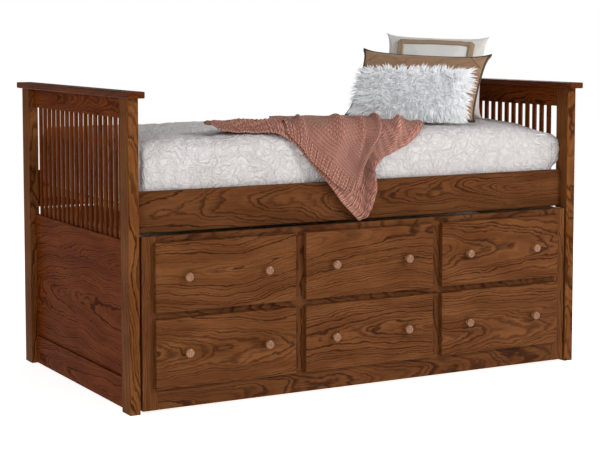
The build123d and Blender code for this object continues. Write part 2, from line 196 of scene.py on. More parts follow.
def board_finish(
    name, tones, centre, grain, face, seed, pitch=None, pith=0.045, ring=RING, gloss=0.42, plain=0.0, coat=0.0
):
    """A board sawn from a log whose pith lies behind its face, so the rings break out as arches and bands.

    grain and face are the axes along the grain and through the face. pitch = (axis, step, origin) tells apart
    the boards of a node that has several. plain, from 0 to 1, fades the rings.
    """
    shine = {"IOR": 1.5, "Specular_IOR_Level": tones.shine, "Coat_Weight": coat, "Coat_Roughness": 0.25}
    oak = Finish(name, Roughness=gloss, **shine)
    cross = 3 - grain - face
    at = oak.split(oak.vector("SUBTRACT", oak.place(), tuple(centre)))
    shift = [float(v) for v in np.random.default_rng(seed).uniform(-0.5, 0.5, 3)]
    lengthwise = at[grain] + 9.0 * shift[0]
    sideways = at[cross] + 0.10 * shift[1]
    depth = at[face] + math.copysign(pith, shift[2])
    if pitch:
        axis, step, origin = pitch
        start = origin - centre[axis]
        board = oak.math("FLOOR", (at[axis] - start) / step)
        lot = oak.node("TexWhiteNoise", noise_dimensions="1D")
        oak.feed(lot.inputs["W"], board + 17.0 * seed)
        draw = oak.split(oak.vector("SUBTRACT", lot.outputs["Color"], (0.5, 0.5, 0.5)))
        lengthwise = lengthwise + draw[0] * 7.0
        if axis == cross:
            sideways = at[axis] - (board + 0.5) * step - start
        sideways = sideways + draw[1] * 0.12
    wander = oak.join(lengthwise * 1.5, shift[0], shift[1])
    sway = (oak.noise(wander, 1.0, 1.0) - 0.5) * 0.15
    heave = (oak.noise(wander, 1.35, 1.0) - 0.5) * 0.05
    through = depth + heave + at[grain] * math.copysign(0.085, shift[0])
    round_pith = oak.math("SQRT", (sideways + sway) ** 2.0 + through**2.0)
    ripple = oak.noise(oak.join(lengthwise * 6.5, sideways * 14.0, depth), 1.0, 3.0)
    rings = (round_pith + (ripple - 0.5) * (5.0 * ring)) / ring
    rings = rings + oak.noise(oak.join(rings * 0.55, shift[1], 3.0), 1.0, 1.0) * 1.7
    fibre = oak.noise(oak.join(lengthwise * 11.0, sideways * 420.0, depth * 420.0), 1.0, 3.0, 0.7)
    phase = oak.math("FRACT", rings + (fibre - 0.5) * 0.95)
    early = oak.span(phase, 0.0, 0.16) * oak.span(phase, 0.16, 0.72, 1.0, 0.0)
    own_weight = oak.noise(oak.join(oak.math("FLOOR", rings) * 0.71, 2.0, shift[0]))
    early = early * (oak.span(own_weight, 0.36, 0.62, 0.18, 1.0) * (1.0 - plain))
    speckle = oak.noise(oak.join(lengthwise * 70.0, sideways * 1500.0, depth * 1500.0), 1.0, 1.0)
    pores = oak.span(speckle, 0.60, 0.70) * oak.span(early, 0.0, 0.8, 0.25, 1.0)
    cloud = oak.noise(oak.join(lengthwise * 4.0, sideways * 16.0, depth), 1.0, 2.0)
    body = oak.mix(oak.span((fibre + cloud) * 0.55, 0.36, 0.76), tones.mid, tones.light)
    dark = oak.math("ADD", early * 0.92, pores * 0.42, clamp=True)
    low = (pores + early * 0.35) * -1.0
    rough = dark * 0.16 + (gloss - 0.05)
    return oak.finish(oak.mix(dark, body, tones.dark), oak.bump(low, 0.0004, 0.55), rough)


def plywood_finish(name, centre):
    """Birch-faced plywood, with its plies showing on the edges."""
    ply = Finish(name, Roughness=0.5)
    x, y, z = ply.split(ply.vector("SUBTRACT", ply.place(), tuple(centre)))
    figure = ply.noise(ply.join(x * 3.0, y * 24.0, z * 24.0), 1.0, 4.0, 0.6, 0.8)
    plies = ply.span(ply.math("FRACT", z * 480.0), 0.4, 0.6)
    body = ply.ramp(figure, (0.3, (0.50, 0.34, 0.19)), (0.7, (0.66, 0.49, 0.31)))
    colour = ply.mix(plies * 0.12, body, (0.36, 0.22, 0.11))
    return ply.finish(colour, ply.bump(figure, 0.0004, 0.4))


def steel_finish():
    """Bright zinc plate, with the faint spangle of the coating and fine rolling marks."""
    steel = Finish("zinc_plated_steel", Metallic=1.0, Roughness=0.35)
    at = steel.place()
    spangle = steel.node("TexVoronoi")
    steel.feed(spangle.inputs["Vector"], at)
    spangle.inputs["Scale"].default_value = 90.0
    grey = steel.split(spangle.outputs["Color"])[0]
    colour = steel.ramp(grey, (0.0, (0.50, 0.51, 0.52)), (1.0, (0.68, 0.69, 0.70)))
    marks = steel.noise(steel.vector("MULTIPLY", at, (900.0, 30.0, 900.0)), 1.0, 2.0)
    return steel.finish(colour, steel.bump(marks, 0.0001, 0.3), grey * 0.14 + 0.28)


def nylon_finish():
    """Moulded black caster tread, dusty where it rolls."""
    nylon = Finish("caster_nylon", Roughness=0.5)
    at = nylon.place()
    dust = nylon.noise(at, 120.0, 4.0, 0.6)
    colour = nylon.ramp(dust, (0.35, (0.016, 0.016, 0.017)), (0.75, (0.060, 0.056, 0.052)))
    grit = nylon.bump(nylon.noise(at, 1500.0, 1.0), 0.0001, 0.4)
    return nylon.finish(colour, grit, nylon.span(dust, 0.3, 0.8, 0.38, 0.62))


def paint_node(name, material):
    """Give a CAD node its material in every slot."""
    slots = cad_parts[name].data.materials
    slots.clear()
    slots.append(material)


def middle_of(name):
    low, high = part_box(name)
    return (low + high) / 2


def wood_node(name, tones, grain, face, seed, **figure):
    paint_node(name, board_finish("oak_" + name, tones, middle_of(name), grain, face, seed, **figure))


def finish_woodwork():
    """Each board's stain, grain and face axes, and its distance from the pith; then the plain materials."""
    slat_pitch, front_pitch = (ACROSS, 0.0495, 0.0), (LONG, 0.619, -0.3095)
    seeds = itertools.count(SEED + 1)
    for end in ("left", "right"):
        for name, tones, grain, face, pith, figure in (
            (f"post_front_{end}", OAK_POST, UP, ACROSS, 0.11, {}),
            (f"post_back_{end}", OAK_POST, UP, ACROSS, 0.11, {}),
            (f"cap_{end}", OAK_CAP, ACROSS, UP, 0.09, {}),
            (f"top_rail_{end}", OAK_END, ACROSS, LONG, 0.05, {}),
            (f"mid_rail_{end}", OAK_END, ACROSS, LONG, 0.04, {}),
            (f"bottom_rail_{end}", OAK_END, ACROSS, LONG, 0.05, {}),
            (f"end_panel_{end}", OAK_END, ACROSS, LONG, 0.07, {"ring": 0.008}),
            (f"end_slats_{end}", OAK_END, UP, LONG, 0.06, {"pitch": slat_pitch}),
        ):
            wood_node(name, tones, grain, face, next(seeds), pith=pith, **figure)
    for name, tones, grain, face, pith, figure in (
        ("side_rail_front", OAK_RAIL, LONG, ACROSS, 0.09, {}),
        ("side_rail_back", OAK_RAIL, LONG, ACROSS, 0.09, {}),
        ("frame_top_rail", OAK_RAIL, LONG, ACROSS, 0.12, {}),
        ("frame_mid_rail", OAK_RAIL, LONG, ACROSS, 0.14, {}),
        ("frame_bottom_rail", OAK_RAIL, LONG, ACROSS, 0.12, {}),
        ("frame_stiles", OAK, UP, ACROSS, 0.14, {"pitch": (LONG, 0.8, 0.0)}),
        ("frame_mullions", OAK_RAIL, UP, ACROSS, 0.14, {"pitch": (LONG, 0.4, 0.0)}),
        ("false_fronts", OAK, LONG, ACROSS, 0.05, {"ring": WIDE_RING, "pitch": front_pitch}),
        ("drawer_left_front", OAK, LONG, ACROSS, 0.06, {"ring": WIDE_RING}),
        ("drawer_center_front", OAK, LONG, ACROSS, 0.05, {"ring": WIDE_RING}),
        ("drawer_right_front", OAK, LONG, ACROSS, 0.06, {"ring": WIDE_RING}),
    ):
        wood_node(name, tones, grain, face, next(seeds), pith=pith, **figure)
    places = ("left", "center", "right")
    knobs, boxes = ([f"drawer_{place}_{part}" for place in places] for part in ("knobs", "box"))
    for name in ("false_front_knobs", *knobs):
        wood_node(name, OAK_KNOB, ACROSS, UP, next(seeds), pith=0.03, gloss=0.27, plain=0.45, coat=0.25)
    for name in ("deck_cleats", "deck_slats", "case_partitions", "slide_blocks", *boxes):
        grain = LONG if "box" in name else ACROSS
        wood_node(name, POPLAR, grain, UP, next(seeds), pith=0.12, gloss=0.5, plain=0.55)
    for name in ("case_sides", "case_back", "case_bottom", "trundle_deck"):
        paint_node(name, plywood_finish("ply_" + name, middle_of(name)))
    steel, nylon = steel_finish(), nylon_finish()
    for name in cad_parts:
        if any(word in name for word in ("brackets", "slides", "runners", "forks", "axles")):
            paint_node(name, steel)
        elif "caster_wheel" in name:
            paint_node(name, nylon)


# ---- mesh helpers


def add_object(name, data):
    made = bpy.data.objects.new(name, data)
    bpy.context.collection.objects.link(made)
    return made


def noise_at(points, seed, octaves=1):
    """Smooth seeded noise from -1 to 1 at each row of points, with one lattice cell per unit."""
    table = np.random.default_rng(seed).uniform(-1, 1, (16, 16, 16))
    total, weight = np.zeros(len(points)), 1.0
    for _ in range(octaves):
        cell = np.floor(points).astype(int)
        part = points - cell
        part = part * part * (3 - 2 * part)
        for corner in np.ndindex(2, 2, 2):
            share = np.prod(np.where(corner, part, 1 - part), axis=1)
            at = (cell + corner) % 16
            total += weight * share * table[at[:, 0], at[:, 1], at[:, 2]]
        points, weight = points * 2 + 3.7, weight / 2
    return total


def planar(u, v, scale):
    """Points for noise_at over a flat pattern."""
    return np.column_stack([np.ravel(u) / scale, np.ravel(v) / scale, np.full(np.size(u), 0.5)])


def ease(value, low, high):
    """0 at low and 1 at high, with no corner at either."""
    part = np.clip((value - low) / (high - low), 0, 1)
    return part * part * (3 - 2 * part)


def grid_quads(rows, columns, around=False):
    """The quads of a grid of vertices stored row by row; around joins the last column to the first."""
    last = columns if around else columns - 1
    quads = []
    for row, column in itertools.product(range(rows - 1), range(last)):
        here, beside = row * columns + column, row * columns + (column + 1) % columns
        quads.append((here, beside, beside + columns, here + columns))
    return quads


def new_piece(name, points, faces, material, slot, uv=None):
    """A smooth mesh object in the shared frame, not yet riding."""
    mesh = bpy.data.meshes.new(name)
    mesh.from_pydata([tuple(map(float, p)) for p in points], [], faces)
    mesh.shade_smooth()
    mesh.materials.append(material)
    if uv is not None:
        layer = mesh.uv_layers.new(name="pattern")
        corners = np.empty(len(mesh.loops), int)
        mesh.loops.foreach_get("vertex_index", corners)
        layer.data.foreach_set("uv", np.asarray(uv, np.float32)[corners].ravel())
    piece = add_object(name, mesh)
    tidy = bmesh.new()
    tidy.from_mesh(mesh)
    bmesh.ops.recalc_face_normals(tidy, faces=tidy.faces)
    tidy.to_mesh(mesh)
    tidy.free()
    return piece


def thicken(piece, thickness, offset=-1.0):
    made = piece.modifiers.new("thickness", "SOLIDIFY")
    made.thickness, made.offset = thickness, offset


def lengths_along(points):
    """The distance along a line of points, at each of them."""
    return np.concatenate([[0], np.cumsum(np.linalg.norm(np.diff(points, axis=0), axis=1))])


def tube(path, radius, sides=8, closed=False, up=(0, 0, 1)):
    """Vertices and quads of a round cord along path, an (n, 3) array; radius may change along it."""
    path = np.asarray(path, float)
    ahead = np.roll(path, -1, 0) - np.roll(path, 1, 0)
    if not closed:
        ahead[0], ahead[-1] = path[1] - path[0], path[-1] - path[-2]
    ahead /= np.linalg.norm(ahead, axis=1, keepdims=True)
    side = np.cross(ahead, np.broadcast_to(up, ahead.shape))
    side /= np.linalg.norm(side, axis=1, keepdims=True) + 1e-9
    over = np.cross(side, ahead)
    turn = np.linspace(0, 2 * np.pi, sides, endpoint=False)
    radius = np.broadcast_to(radius, len(path))[:, None, None]
    ring = side[:, None] * np.cos(turn)[None, :, None] + over[:, None] * np.sin(turn)[None, :, None]
    points = (path[:, None] + radius * ring).reshape(-1, 3)
    rows = len(path)
    faces = grid_quads(rows, sides, around=True)
    if closed:
        start = (rows - 1) * sides
        faces += [(start + c, start + (c + 1) % sides, (c + 1) % sides, c) for c in range(sides)]
    else:
        faces += [tuple(range(sides - 1, -1, -1)), tuple((rows - 1) * sides + c for c in range(sides))]
    return points, faces


def gather(parts):
    """Several (points, faces) as one."""
    points, faces, start = [], [], 0
    for some, quads in parts:
        points.append(some)
        faces += [tuple(start + i for i in quad) for quad in quads]
        start += len(some)
    return np.concatenate(points), faces


def smooth_line(knots, count):
    """count points along a Catmull-Rom curve through the knots, evenly spaced."""
    knots = np.asarray(knots, float)
    ends = np.vstack([2 * knots[0] - knots[1], knots, 2 * knots[-1] - knots[-2]])
    dense = []
    for a, b, c, d in zip(ends, ends[1:], ends[2:], ends[3:]):
        t = np.linspace(0, 1, 24, endpoint=False)[:, None]
        square, cube = 2 * a - 5 * b + 4 * c - d, 3 * b - a - 3 * c + d
        dense.append(0.5 * (2 * b + (c - a) * t + square * t**2 + cube * t**3))
    dense = np.vstack([*dense, knots[-1:]])
    along = lengths_along(dense)
    at = np.linspace(0, along[-1], count)
    return np.column_stack([np.interp(at, along, dense[:, k]) for k in range(dense.shape[1])])


# ---- fabrics


def weave_height(cloth, at, pitch):
    """A plain weave's over-and-under, for bump."""
    x, y, z = (cloth.math("SINE", part * (2 * math.pi / pitch)) for part in cloth.split(at))
    return x * y + y * z


def matelasse_cotton():
    """Washed white cotton: embossed leaves and scrolls between stitched grooves darkened with painted shade,
    over a fine weave.
    """
    cotton = Finish("matelasse_cotton", Roughness=0.82, Sheen_Weight=0.15, Sheen_Roughness=0.5)
    at = cotton.pattern()
    bend = cotton.noise(at, 9.0, output="Color")
    curl = cotton.vector("MULTIPLY", cotton.vector("SUBTRACT", bend, (0.5, 0.5, 0.5)), (0.11, 0.11, 0.11))
    curled = cotton.vector("ADD", at, curl)
    groove = cotton.span(abs(cotton.noise(curled, 24.0, 1.0) - 0.5), 0.0, 0.10)
    small = cotton.span(abs(cotton.noise(curled, 62.0, 1.0) - 0.5), 0.0, 0.08)
    blotch = cotton.noise(at, 7.0, 3.0)
    body = cotton.ramp(blotch, (0.3, (0.585, 0.550, 0.540)), (0.7, (0.645, 0.608, 0.600)))
    # painted shade: the colour darkens along the stitched grooves, large and small, as if the puffs shaded
    # them
    colour = cotton.mix((1.0 - groove * small) * 0.30, body, (0.42, 0.39, 0.38))
    fine = cotton.bump(weave_height(cotton, at, 0.0022), 0.0002, 0.5)
    return cotton.finish(colour, cotton.bump(groove * 0.6 + small * 0.4, 0.0045, 0.9, fine))


def ticking(name, tone):
    """Quilted mattress ticking: pale knit with a faint damask and sewn diamonds."""
    cloth = Finish(name, Roughness=0.78, Sheen_Weight=0.1)
    at = cloth.place()
    x, y, z = cloth.split(at)
    sewn = abs(cloth.math("SINE", (x + y + z) * 52.0)) * abs(cloth.math("SINE", (x - y + z) * 52.0))
    damask = cloth.noise(at, 60.0, 2.0, 0.5, 1.5)
    body = cloth.ramp(damask, (0.42, tone), (0.58, tuple(min(1.0, v * 1.12) for v in tone)))
    colour = cloth.mix(cloth.span(sewn, 0.0, 0.12, 0.35, 0.0), body, (0.45, 0.42, 0.38))
    fine = cloth.bump(damask, 0.0006, 0.5)
    return cloth.finish(colour, cloth.bump(cloth.span(sewn, 0.0, 0.3), 0.003, 0.7, fine))


def knit_wool():
    """Coral wool in knitted rows: each stitch a slanted pair, each row a soft ridge, with painted shade where
    they dip.
    """
    row_pitch, wale_pitch = 0.0092, 0.0086
    sheen = {"Sheen_Weight": 0.14, "Sheen_Roughness": 0.5, "Sheen_Tint": (1.0, 0.72, 0.62, 1)}
    knit = Finish("coral_knit", Roughness=0.9, **sheen)
    at = knit.pattern()
    u, v, _ = knit.split(at)
    drift = (knit.noise(at, 30.0, 2.0) - 0.5) * 0.004
    side = abs(knit.math("FRACT", (u + drift) * (1 / wale_pitch)) - 0.5)
    stitch = knit.math("FRACT", (v + drift) * (1 / row_pitch) + side * 1.3)
    loop = knit.math("SINE", stitch * math.pi)
    height = loop * (knit.span(side, 0.0, 0.16) * knit.span(side, 0.5, 0.38))
    fuzz = knit.bump(knit.noise(at, 900.0, 2.0), 0.0004, 0.5)
    body = knit.ramp(knit.noise(at, 14.0, 3.0), (0.3, (0.500, 0.205, 0.142)), (0.7, (0.640, 0.300, 0.222)))
    # painted shade: the wool darkens where the stitch height drops, between the loops and between the rows
    colour = knit.mix(knit.span(height, 0.0, 0.7, 0.74, 0.0), body, (0.200, 0.066, 0.046))
    return knit.finish(colour, knit.bump(height, 0.0052, 1.0, fuzz))


def linen(name, tone, dark):
    """Slubbed plain-weave linen, read from the pillow's own pattern in metres."""
    cloth = Finish(name, Roughness=0.85, Sheen_Weight=0.12)
    at = cloth.pattern()
    u, v, _ = cloth.split(at)
    warp = cloth.noise(cloth.join(u * 900.0, v * 30.0, 0.0), 1.0, 2.0)
    weft = cloth.noise(cloth.join(u * 30.0, v * 900.0, 5.0), 1.0, 2.0)
    slub = (warp + weft) * 0.5
    body = cloth.mix(cloth.span(slub, 0.38, 0.62), dark, tone)
    colour = cloth.mix(cloth.span(cloth.noise(at, 12.0, 3.0), 0.35, 0.75, 0.0, 0.25), body, dark)
    weave = cloth.bump(weave_height(cloth, at, 0.0018), 0.0003, 0.6)
    return cloth.finish(colour, cloth.bump(slub, 0.0008, 0.8, weave))


def jute():
    """Hairy natural cord, twisted."""
    cord = Finish("jute_braid", Roughness=0.88)
    strand = cord.noise(cord.place(), 700.0, 3.0, 0.7, 1.0)
    dark, mid, light = (0.200, 0.125, 0.070), (0.360, 0.255, 0.165), (0.520, 0.400, 0.285)
    body = cord.ramp(strand, (0.32, dark), (0.5, mid), (0.7, light))
    return cord.finish(body, cord.bump(strand, 0.0012, 0.9))


def suede(name, tone, width, height):
    """Brushed suede: a short nap stroked both ways, its light and dark strokes a painted sheen, with sewn
    triangles across the corners.
    """
    corner_patch, seam_width = 0.085, 0.004
    sheen = {"Sheen_Weight": 0.45, "Sheen_Roughness": 0.4, "Sheen_Tint": (0.85, 0.70, 0.55, 1)}
    hide = Finish(name, Roughness=0.88, **sheen)
    at = hide.pattern()
    stroke = hide.noise(hide.vector("MULTIPLY", at, (9.0, 16.0, 1.0)), 1.0, 4.0, 0.62, 1.2)
    nap = hide.noise(at, 1400.0, 2.0, 0.7)
    light, dark = tuple(v * 1.28 for v in tone), tuple(v * 0.62 for v in tone)
    u, v, _ = hide.split(at)
    from_corner = (width / 2 - abs(u)) + (height / 2 - abs(v))
    seam = hide.span(abs(from_corner - corner_patch), 0.0, seam_width, 1.0, 0.0)
    patch = hide.span(from_corner, corner_patch - seam_width / 2, corner_patch + seam_width / 2, 0.35, 0.0)
    # painted sheen: the light and dark strokes stand for light catching the brushed nap
    colour = hide.mix(patch, hide.ramp(stroke, (0.30, dark), (0.50, tone), (0.72, light)), light)
    colour = hide.mix(seam * 0.8, colour, (0.07, 0.035, 0.018))
    colour = hide.mix(hide.span(nap, 0.35, 0.65, 0.22, 0.0), colour, dark)
    return hide.finish(colour, hide.bump(nap - seam * 2.0, 0.0007, 0.7))


def fur_fibre(name, root, tip, weight):
    """Long synthetic fur: white hair, cooler at the root as painted shade, with a faint painted glow for
    light in the pile.
    """
    hair = Finish(name, Roughness=0.6, Sheen_Weight=weight, Sheen_Roughness=0.3)
    # painted light: the hair and its backing glow faintly, standing in for light scattered through the pile
    hair.surface.inputs["Emission Color"].default_value = (0.88, 0.94, 1.0, 1)
    hair.surface.inputs["Emission Strength"].default_value = 0.06
    at = hair.pattern()
    tone = hair.noise(hair.place(), 28.0, 3.0)
    # painted shade: each hair runs from the cool root colour to the white tip, the cooler roots standing for
    # shade deep in the pile
    body = hair.mix(hair.span(hair.split(at)[1], 0.0, 0.7), root, tip)
    colour = hair.mix(hair.span(tone, 0.35, 0.7, 0.0, 0.35), body, tuple(v * 0.95 for v in root))
    streak = hair.noise(hair.vector("MULTIPLY", at, (160.0, 8.0, 1.0)), 1.0, 2.0)
    return hair.finish(colour, hair.bump(streak, 0.0005, 0.4))


def corded_piping():
    """Dark leather cord sewn into the suede pillow's seam."""
    leather = Finish("dark_piping", Roughness=0.5, Coat_Weight=0.15, Coat_Roughness=0.4)
    at = leather.place()
    grain = leather.noise(at, 380.0, 3.0, 0.6)
    colour = leather.ramp(grain, (0.35, (0.030, 0.016, 0.009)), (0.7, (0.085, 0.048, 0.026)))
    return leather.finish(colour, leather.bump(grain, 0.0006, 0.7), leather.span(grain, 0.3, 0.7, 0.42, 0.62))


# ---- coverlet and mattresses

EDGE = 0.052  # the coverlet's rounded top edge
CORNER = 0.048  # its upright corners
SIDE_FOOT, SIDE_HIGH = 0.80, 0.20  # where the coverlet's sides come out of the rails, and how high they stand


def folded_over(half, middle, top, drop, edge, corner, step):
    """A grid laid over a box with rounded edges: its points, outward normals, flat pattern and shape."""
    reach = (corner - edge) + edge * math.pi / 2 + (drop - edge)
    flat = [half[k] - corner + reach for k in (0, 1)]
    lines = [np.linspace(-f, f, int(2 * f / step) + 1) for f in flat]
    s, t = np.meshgrid(*lines, indexing="ij")
    over = [np.maximum(np.abs(v) - (half[k] - corner), 0) for k, v in enumerate((s, t))]
    rho = np.maximum(*over)
    phi = np.arctan2(over[1], over[0])
    bend = np.clip((rho - (corner - edge)) / edge, 0, math.pi / 2)
    straight = np.maximum(rho - (corner - edge) - edge * math.pi / 2, 0)
    out = np.minimum(rho, corner - edge) + edge * np.sin(bend)
    way = np.stack([np.cos(phi) * np.sign(s), np.sin(phi) * np.sign(t)], -1) * (rho > 0)[..., None]
    inner = [np.clip(v, -(half[k] - corner), half[k] - corner) for k, v in enumerate((s, t))]
    x, y = (middle[k] + inner[k] + out * way[..., k] for k in (0, 1))
    points = np.stack([x, y, top - edge * (1 - np.cos(bend)) - straight], -1)
    normals = np.concatenate([way * np.sin(bend)[..., None], np.cos(bend)[..., None]], -1)
    return points.reshape(-1, 3), normals.reshape(-1, 3), np.column_stack([s.ravel(), t.ravel()]), s.shape


def vermicelli(u, v, scale, seed):
    """Puffs between wandering stitched lines, 0 in the grooves and 1 on the puffs."""
    warp = [noise_at(planar(u, v, 0.11), seed + k) * 0.030 for k in (1, 2)]
    return np.clip(np.abs(noise_at(planar(u + warp[0], v + warp[1], scale), seed)) / 0.40, 0, 1) ** 0.8


def up_the_side(z):
    return np.clip((z - SIDE_FOOT) / SIDE_HIGH, 0, 1)


def soften_corners(points):
    """Let the made bed's front corners and its back edge sink, the coverlet and the mattress alike."""
    low, high = COVER
    share = up_the_side(points[:, 2])
    for end_x, depth, reach in ((high.x, 0.042, 0.17), (low.x, 0.016, 0.12)):
        corner = np.hypot(points[:, 0] - end_x, points[:, 1] - low.y)
        points[:, 2] -= depth * np.exp(-((corner / reach) ** 2)) * share
    points[:, 2] -= 0.008 * ease(points[:, 1], high.y - 0.35, high.y - 0.05) * share**2


def make_coverlet():
    """The made bed: quilted puffs, sides that billow over the rails, and corners tucked in pleats."""
    low, high = COVER
    half, middle = (high - low) / 2, (high + low) / 2
    points, normals, flat, shape = folded_over(half, middle, high.z, high.z - low.z, EDGE, CORNER, 0.0092)
    u, v = flat.T
    x, _, z = points.T
    facing_x, facing_y = normals[:, 0], normals[:, 1]
    free = ease(z, RAIL[1].z + 0.004, RAIL[1].z + 0.05)
    on_top = ease(z, high.z - 0.02, high.z)
    lift = 0.0050 * (vermicelli(u, v, 0.031, SEED) - 1.0)
    lift += 0.0050 * noise_at(planar(u, v, 0.16), SEED + 5, 2) - 0.002
    swell = np.sin(np.pi * up_the_side(z))
    billow = 0.010 * swell * (facing_y < -0.5) * (0.75 + 0.5 * noise_at(planar(u, v, 0.30), SEED + 6))
    billow += 0.006 * swell * (facing_x > 0.5)
    turned = np.abs(facing_x * facing_y) * 2
    around = np.arctan2(np.abs(facing_y), np.abs(facing_x) + 1e-6)
    pleats = 0.010 * turned * np.sin(9.0 * around + 1.0)
    full = 0.013 * turned * (x > 0)  # the right-hand corners are stuffed out towards the posts
    crown = 0.004 * on_top * (np.cos(np.pi * np.clip(u / half.x, -1, 1) * 0.5) - 1.0)
    points = points + normals * ((lift + billow + pleats + full) * free + crown)[:, None]
    soften_corners(points)
    quads = grid_quads(*shape)
    piece = new_piece("coverlet_quilted", points, quads, matelasse_cotton(), "coverlet_cotton", flat)
    thicken(piece, 0.0045)
    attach(piece, "bed")
    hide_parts("coverlet")


def mattress_edge(half, middle, z, corner, radius):
    """A line round the mattress at height z: arcs of the radius about the corners' centres, and its sides."""
    loop = []
    for side_x, side_y, start in ((1, 1, 0), (-1, 1, 90), (-1, -1, 180), (1, -1, 270)):
        centre = (middle.x + side_x * (half.x - corner), middle.y + side_y * (half.y - corner))
        for turn in np.radians(np.linspace(start, start + 90, 10)):
            x, y = centre[0] + radius * math.cos(turn), centre[1] + radius * math.sin(turn)
            loop.append(np.array([x, y, z]))
    dense = []
    for a, b in zip(loop, loop[1:] + loop[:1]):
        steps = max(1, int(math.dist(a, b) / 0.04))
        dense += [a + (b - a) * i / steps for i in range(steps)]
    return dense


def make_mattress(name, node, body, tone, sink=0.0):
    """A foam mattress: quilted panels top and bottom, a plain border, and tape round both edges."""
    edge, corner, puffs, puff_high, inset = 0.024, 0.05, 26, 0.006, 0.007
    low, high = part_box(node)
    high.z -= sink
    half, middle = (high - low) / 2, (high + low) / 2
    parts, tapes = [], []
    for side in (1, -1):
        points, normals, flat, shape = folded_over(half, middle, 0.0, half.z, edge, corner, 0.024)
        quilt = np.sqrt(np.prod(np.abs(np.sin(flat * puffs)), axis=1)) * (normals[:, 2] > 0.5)
        points = points + normals * (puff_high * quilt - inset)[:, None]
        points[:, 2] = middle.z + side * (points[:, 2] + half.z)
        quads = grid_quads(*shape)
        parts.append((points, quads if side > 0 else [q[::-1] for q in quads]))
        line = mattress_edge(half, middle, middle.z + side * (half.z - edge), corner, corner - 0.004)
        tapes.append(tube(line, 0.0042, 6, closed=True))
    points, faces = gather(parts)
    if sink:
        soften_corners(points)
    piece = new_piece(name, points, faces, ticking("ticking_" + name, tone), "mattress_ticking")
    weld = piece.modifiers.new("weld", "WELD")
    weld.merge_threshold = 0.0012
    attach(piece, body)
    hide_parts(node)
    tape = ticking("tape_" + name, (0.60, 0.58, 0.55))
    trim = new_piece(name + "_tape", *gather(tapes), tape, "mattress_ticking")
    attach(trim, body)


# ---- pillows


class Pillow:
    """A pillow standing on its lower seam, turned and leaning: its front looks along facing.

    ears is how far its sides pull in between the corners, and roll tips it in its own plane.
    """

    def __init__(self, seed, x, y, base, turn, lean, roll, width, height, thick, ears):
        turn, lean, tip = map(math.radians, (turn, lean, roll))
        flat = np.array([math.sin(turn), -math.cos(turn), 0.0])
        ahead, upright = np.array([-math.cos(turn), -math.sin(turn), 0.0]), np.array([0.0, 0.0, 1.0])
        tall = upright * math.cos(lean) - ahead * math.sin(lean)
        self.facing = ahead * math.cos(lean) + upright * math.sin(lean)
        self.across = flat * math.cos(tip) - tall * math.sin(tip)
        self.up = tall * math.cos(tip) + flat * math.sin(tip)
        self.foot = np.array([x, FRONT + y, base])
        self.seed, self.width, self.height, self.thick, self.ears = seed, width, height, thick, ears

    def half_thickness(self, u, v):
        swell = np.clip((1 - u**2) * (1 - v**2), 0, 1) ** 0.46
        return self.thick / 2 * swell * (1 - 0.16 * v)

    def at(self, u, v, side, off=0.0):
        """The point of the front (side 1) or back (side -1) face at u, v from -1 to 1."""
        u, v = np.asarray(u, float), np.asarray(v, float)
        pull_a, pull_b = self.ears / self.width * 2, self.ears / self.height * 2
        a = self.width / 2 * u * (1 - pull_a * (0.6 * (1 - v**8) + 0.4 * (1 - v**2)))
        b = self.height / 2 * v * (1 - pull_b * (0.6 * (1 - u**8) + 0.4 * (1 - u**2))) + self.height / 2
        bits = np.column_stack([np.ravel(u * 2.6), np.ravel(v * 2.2), np.full(u.size, 3.0 + side)])
        crumple = noise_at(bits, SEED + self.seed, 2).reshape(u.shape)
        turn = np.arctan2(np.abs(v), np.abs(u) + 1e-6)
        rays = np.sin(turn * 13 + 4 * crumple) * (np.abs(u) * np.abs(v)) ** 1.5 * (1 - u**6) * (1 - v**6)
        body = np.clip((1 - u**2) * (1 - v**2), 0, 1) ** 0.5
        c = side * (self.half_thickness(u, v) + 0.005 * crumple * body + 0.005 * rays + off)
        spot = a[..., None] * self.across + b[..., None] * self.up + c[..., None] * self.facing + self.foot
        spot[..., 2] = np.maximum(spot[..., 2], self.foot[2])
        return spot

    def mesh(self, count):
        """Both faces as one closed form, with their pattern in metres."""
        line = np.sin(np.linspace(-1, 1, count) * math.pi / 2)
        u, v = np.meshgrid(line, line, indexing="ij")
        front, back = (self.at(u, v, side, 0.0012).reshape(-1, 3) for side in (1, -1))
        quads = grid_quads(count, count)
        grid = np.arange(count * count).reshape(count, count)
        rim = np.concatenate([grid[0], grid[1:, -1], grid[-1, -2::-1], grid[-2:0:-1, 0]]).tolist()
        size = count * count
        faces = quads + [tuple(size + i for i in q[::-1]) for q in quads]
        faces += [(a, b, size + b, size + a) for a, b in zip(rim, rim[1:] + rim[:1])]
        uv = np.column_stack([u.ravel() * self.width / 2, v.ravel() * self.height / 2])
        return np.vstack([front, back]), faces, np.vstack([uv, uv + 1.0])

    def rim_line(self, count):
        """The seam, all the way round."""
        line = np.linspace(-1, 1, count, endpoint=False)
        one = np.ones(count)
        u = np.concatenate([line, one, -line, -one])
        v = np.concatenate([-one, line, one, -line])
        return self.at(u, v, 1) * 0.5 + self.at(u, v, -1) * 0.5


def make_pillow(name, node, shape, material, slot):
    points, faces, uv = shape.mesh(41)
    piece = new_piece(name, points, faces, material, slot, uv)
    smooth = piece.modifiers.new("smooth", "SUBSURF")
    smooth.levels = smooth.render_levels = 1
    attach(piece, "bed")
    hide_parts(node)


